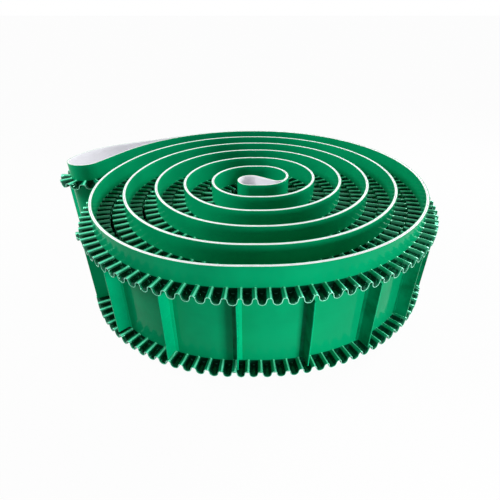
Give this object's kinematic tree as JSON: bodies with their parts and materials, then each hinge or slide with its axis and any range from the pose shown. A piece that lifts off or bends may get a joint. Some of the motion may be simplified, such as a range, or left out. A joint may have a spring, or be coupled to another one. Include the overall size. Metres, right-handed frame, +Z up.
{
  "type": "cleated conveyor belt",
  "caption": "Endless green PVC conveyor belt with corrugated sidewalls and cross cleats, folded back to back and rolled up on its edge, with a loop at the tail.",
  "frame": {"origin": "axis of the roll's left half turns, on the floor plane", "axes": "+Z up along the roll's axis, +X to the right of the pictured side, +Y to its back"},
  "size_m": [1.3461, 1.182, 0.354],
  "materials": {
    "cover": "smooth glossy PVC",
    "sidewall": "satin PVC",
    "cleats": "satin PVC",
    "carcass": "PVC-soaked fabric plies",
    "backing_fabric": "fine bare weave"
  },
  "bodies": {
    "coil": {"coil_backing_fabric": "backing_fabric", "coil_carcass_turn_6_inward": "carcass", "coil_carcass_turn_5_inward": "carcass", "coil_carcass_turn_4_inward": "carcass", "coil_carcass_turn_3_inward": "carcass", "coil_carcass_turn_2_inward": "carcass", "coil_carcass_turn_1_inward": "carcass", "coil_carcass_eye": "carcass", "coil_carcass_turn_1_outward": "carcass", "coil_carcass_turn_2_outward": "carcass", "coil_carcass_turn_3_outward": "carcass", "coil_carcass_turn_4_outward": "carcass", "coil_carcass_turn_5_outward": "carcass", "coil_carcass_turn_6_outward": "carcass", "coil_cover": "cover", "coil_upper_sidewall": "sidewall", "coil_lower_sidewall": "sidewall", "coil_cleats_turn_6_inward": "cleats", "coil_cleats_turn_5_inward": "cleats", "coil_cleats_turn_4_inward": "cleats", "coil_cleats_turn_3_inward": "cleats", "coil_cleats_turn_2_inward": "cleats", "coil_cleats_turn_1_inward": "cleats", "coil_cleats_eye": "cleats", "coil_cleats_turn_1_outward": "cleats", "coil_cleats_turn_2_outward": "cleats", "coil_cleats_turn_3_outward": "cleats", "coil_cleats_turn_4_outward": "cleats", "coil_cleats_turn_5_outward": "cleats", "coil_cleats_turn_6_outward": "cleats"},
    "bay_1": {"bay_1_backing_fabric": "backing_fabric", "bay_1_carcass": "carcass", "bay_1_cover": "cover", "bay_1_upper_sidewall": "sidewall", "bay_1_lower_sidewall": "sidewall", "bay_1_cleats": "cleats"},
    "bay_2": {"bay_2_backing_fabric": "backing_fabric", "bay_2_carcass": "carcass", "bay_2_cover": "cover", "bay_2_upper_sidewall": "sidewall", "bay_2_lower_sidewall": "sidewall", "bay_2_cleats": "cleats"},
    "tail": {"tail_backing_fabric": "backing_fabric", "tail_carcass": "carcass", "tail_cover": "cover", "tail_upper_sidewall": "sidewall", "tail_lower_sidewall": "sidewall", "tail_cleats": "cleats"}
  },
  "joints": [
    {"name": "unroll_1", "type": "hinge", "parent": "coil", "child": "bay_1", "pos_m": [0.43416, 0.40001, 0], "axis": [0, 0, -1], "range_deg": [0, 18]},
    {"name": "unroll_2", "type": "hinge", "parent": "bay_1", "child": "bay_2", "pos_m": [0.29516, 0.51655, 0], "axis": [0, 0, -1], "range_deg": [0, 18]},
    {"name": "unroll_3", "type": "hinge", "parent": "bay_2", "child": "tail", "pos_m": [0.14183, 0.57759, 0], "axis": [0, 0, -1], "range_deg": [0, 18]}
  ],
  "couplings": [
    {"joint": "unroll_2", "follows": "unroll_1", "ratio": 1},
    {"joint": "unroll_3", "follows": "unroll_1", "ratio": 1}
  ]
}
